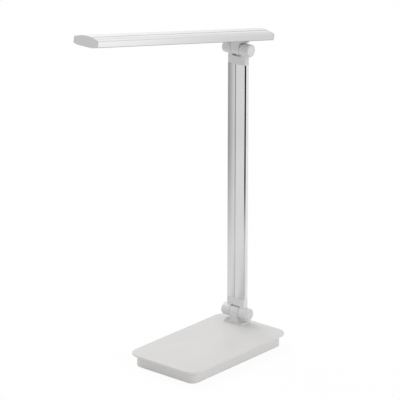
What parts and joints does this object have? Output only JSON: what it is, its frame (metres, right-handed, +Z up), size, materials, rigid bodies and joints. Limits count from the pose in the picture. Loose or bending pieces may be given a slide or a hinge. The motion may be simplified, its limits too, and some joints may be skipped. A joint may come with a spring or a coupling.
{
  "type": "folding led desk lamp",
  "caption": "Folding desk lamp: flat rounded base, flat upright arm on a friction hinge and a slim light head on a second hinge, diffuser underneath.",
  "frame": {"origin": "centre of the base where the rubber mat meets the table", "axes": "+Z up; -Y is the front, where the light head points; X runs along the hinge axes, across the base"},
  "size_m": [0.11, 0.3279, 0.4559],
  "materials": {
    "base_plastic": "fine matte, light silver grey",
    "hinge_plastic": "satin, mid silver grey",
    "cap_plastic": "satin, mid silver grey",
    "anodised": "fine brushed, clear anodised",
    "black_plastic": "matte black",
    "steel": "bright zinc",
    "rubber": "soft matte",
    "board": "green circuit board",
    "white_board": "white circuit board",
    "chips": "black moulded",
    "led_yellow": "yellow phosphor",
    "copper_film": "amber film with copper",
    "contact": "bright plated",
    "lead_jacket": "soft black sheath",
    "opal": "opal white, satin"
  },
  "bodies": {
    "base": {"base_tub": "base_plastic", "base_cover": "base_plastic", "counterweight": "steel", "rubber_mat": "rubber", "case_screws": "steel", "control_board": "board", "board_chips": "chips", "board_screws": "steel", "touch_sensor": "copper_film", "inlet_socket": "black_plastic", "inlet_pin": "contact", "inlet_lead": "lead_jacket", "base_lead": "lead_jacket", "lower_post": "hinge_plastic", "post_backing_plate": "steel", "post_screws": "steel"},
    "arm": {"lower_bracket": "hinge_plastic", "upper_bracket": "hinge_plastic", "arm_profile": "anodised", "arm_front_plate": "anodised", "arm_side_strips": "black_plastic", "lower_pin": "steel", "upper_pin": "steel", "lower_washers": "black_plastic", "upper_washers": "black_plastic", "lower_nut": "steel", "upper_nut": "steel", "lower_hinge_caps": "cap_plastic", "upper_hinge_caps": "cap_plastic", "bracket_screws": "steel", "arm_lead": "lead_jacket"},
    "head": {"head_post": "hinge_plastic", "head_profile": "anodised", "head_front_cap": "cap_plastic", "head_rear_cap": "cap_plastic", "diffuser": "opal", "head_tail_plate": "anodised", "led_board": "white_board", "led_chips": "led_yellow", "head_clamp_plate": "steel", "head_post_screws": "steel", "head_lead": "lead_jacket"}
  },
  "joints": [
    {"name": "arm_fold", "type": "hinge", "parent": "base", "child": "arm", "pos_m": [-0.0185, 0.078, 0.0318], "axis": [1, 0, 0], "range_deg": [-30, 78]},
    {"name": "head_fold", "type": "hinge", "parent": "arm", "child": "head", "pos_m": [-0.0185, 0.078, 0.3813], "axis": [1, 0, 0], "range_deg": [-75, 100]}
  ]
}
